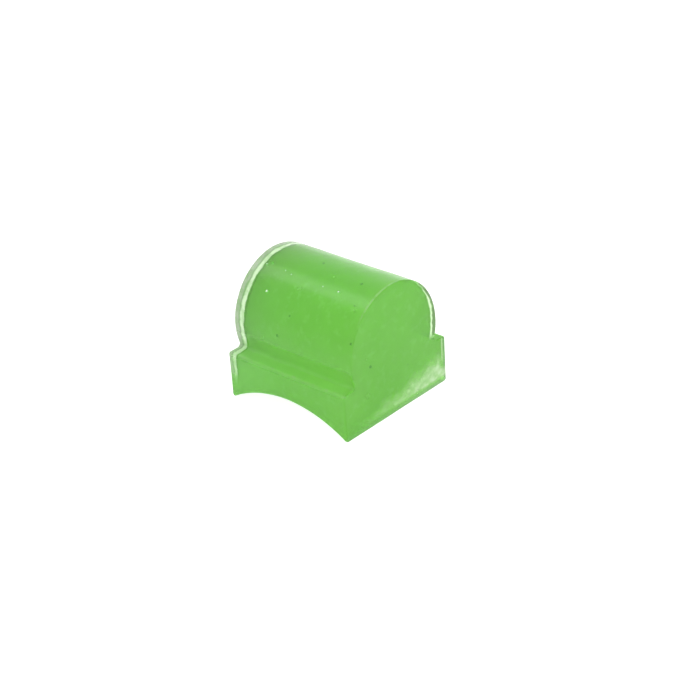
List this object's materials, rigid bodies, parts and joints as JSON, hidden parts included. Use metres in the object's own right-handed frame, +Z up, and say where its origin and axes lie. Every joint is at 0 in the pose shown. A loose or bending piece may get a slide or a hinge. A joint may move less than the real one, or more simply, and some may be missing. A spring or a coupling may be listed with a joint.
{
  "type": "racket vibration dampener",
  "caption": "Translucent gel string-bed dampener: a round button on a wider flange, with a string seat along each side and an arched underside.",
  "frame": {"origin": "centre of the base, level with the two feet", "axes": "+Z up through the button's crown, +Y along the strings and the button's axis, +X across both strings"},
  "size_m": [0.016, 0.0164, 0.0147],
  "materials": {
    "gel": "smooth moulded translucent gel"
  },
  "bodies": {
    "root": {"dampener_body": "gel"}
  },
  "joints": []
}
